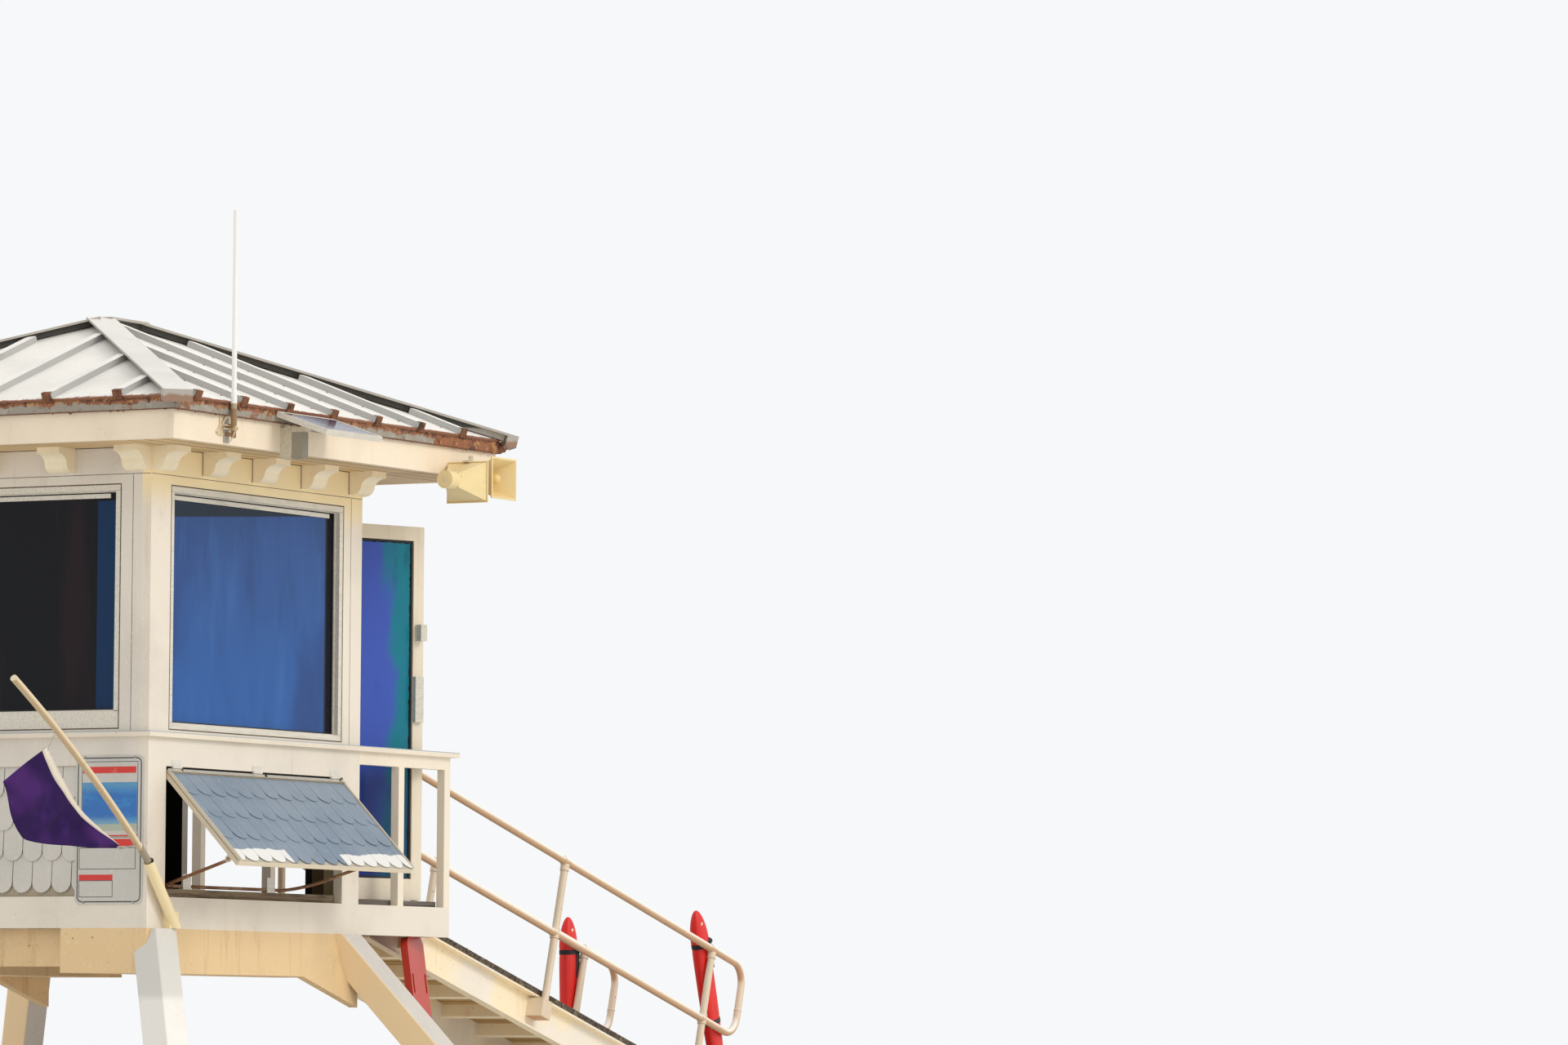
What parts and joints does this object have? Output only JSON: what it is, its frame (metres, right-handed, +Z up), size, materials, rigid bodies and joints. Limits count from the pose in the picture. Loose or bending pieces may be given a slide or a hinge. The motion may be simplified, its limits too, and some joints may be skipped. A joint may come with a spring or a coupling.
{
  "type": "lifeguard tower",
  "caption": "Square lifeguard hut on splayed legs with a hipped metal roof, big windows, propped hatch, glazed door, railed deck and a plank ramp with pipe handrails.",
  "frame": {"origin": "middle of the bounding box in plan, on the ground", "axes": "+X from the land side to the sea end of the ramp, +Y from the hatch side to the far side, +Z up"},
  "size_m": [9.0342, 3.6736, 5.065],
  "materials": {
    "leg_paint": "white paint, chipped",
    "beam_timber": "tan stain, weathered",
    "cream_paint": "cream paint, slightly dirty",
    "deck_timber": "worn paint",
    "weathered_timber": "bare, dark and weathered",
    "roof_metal": "pale grey, streaked",
    "rusted_trim": "rusted",
    "frame_metal": "satin",
    "tinted_glass": "tinted",
    "hinge_steel": "dull",
    "rusted_steel": "rusted",
    "galvanised_steel": "dull zinc",
    "sign_metal": "plain colour fields, no lettering",
    "pole_plastic": "matt",
    "flag_cloth": "woven",
    "solar_face": "glossy cells in a pale frame",
    "bracket_paint": "grey",
    "horn_plastic": "aged ivory",
    "tube_skin": "satin skin over foam",
    "backboard_plastic": "satin"
  },
  "bodies": {
    "tower": {"leg_near_landward": "leg_paint", "leg_near_seaward": "leg_paint", "leg_far_landward": "leg_paint", "leg_far_seaward": "leg_paint", "girders": "beam_timber", "cross_beams": "beam_timber", "knee_braces": "beam_timber", "rim_boards": "cream_paint", "floor_boards": "deck_timber", "deck_boards": "deck_timber", "floor_joists": "weathered_timber", "near_wall": "cream_paint", "near_posts": "cream_paint", "far_wall": "cream_paint", "landward_wall": "cream_paint", "seaward_wall": "cream_paint", "door_header": "cream_paint", "door_frame": "cream_paint", "ledges": "cream_paint", "window_frames": "frame_metal", "window_glass": "tinted_glass", "corbels": "cream_paint", "soffit": "cream_paint", "fascias": "cream_paint", "drip_edge": "rusted_trim", "roof_near": "roof_metal", "roof_far": "roof_metal", "roof_landward": "roof_metal", "roof_seaward": "roof_metal", "roof_caps": "roof_metal", "door_hinges": "hinge_steel", "hatch_hinges": "hinge_steel", "hatch_sill": "weathered_timber", "sill_clips": "rusted_steel", "side_railings": "cream_paint", "sea_railing": "cream_paint", "ramp_frame": "galvanised_steel", "ramp_planks": "weathered_timber", "handrail_near": "galvanised_steel", "handrail_far": "galvanised_steel", "sign_plate": "sign_metal", "pole_socket": "pole_plastic", "flagpole": "pole_plastic", "flag": "flag_cloth", "flag_ties": "hinge_steel", "solar_panel": "solar_face", "solar_bracket": "bracket_paint", "horn_speakers": "horn_plastic", "horn_bracket": "bracket_paint", "antenna": "pole_plastic", "rescue_tubes": "tube_skin", "backboard": "backboard_plastic"},
    "door": {"door_leaf": "cream_paint", "door_glass": "tinted_glass", "door_hardware": "hinge_steel"},
    "hatch": {"hatch_panel": "cream_paint"},
    "prop": {"hatch_prop": "rusted_steel"}
  },
  "joints": [
    {"name": "door_hinge", "type": "hinge", "parent": "tower", "child": "door", "pos_m": [-0.83907, -0.72155, 1.31], "axis": [0, 0, 1], "range_deg": [0, 108]},
    {"name": "hatch_hinge", "type": "hinge", "parent": "tower", "child": "hatch", "pos_m": [-1.94707, -1.06055, 1.99], "axis": [1, 0, 0], "range_deg": [0, 44]},
    {"name": "prop_fold", "type": "hinge", "parent": "hatch", "child": "prop", "pos_m": [-1.94707, -1.45755, 1.47812], "axis": [1, 0, 0], "range_deg": [0, 63.04]}
  ],
  "couplings": [
    {"joint": "prop_fold", "follows": "hatch_hinge", "ratio": 1.4328}
  ]
}
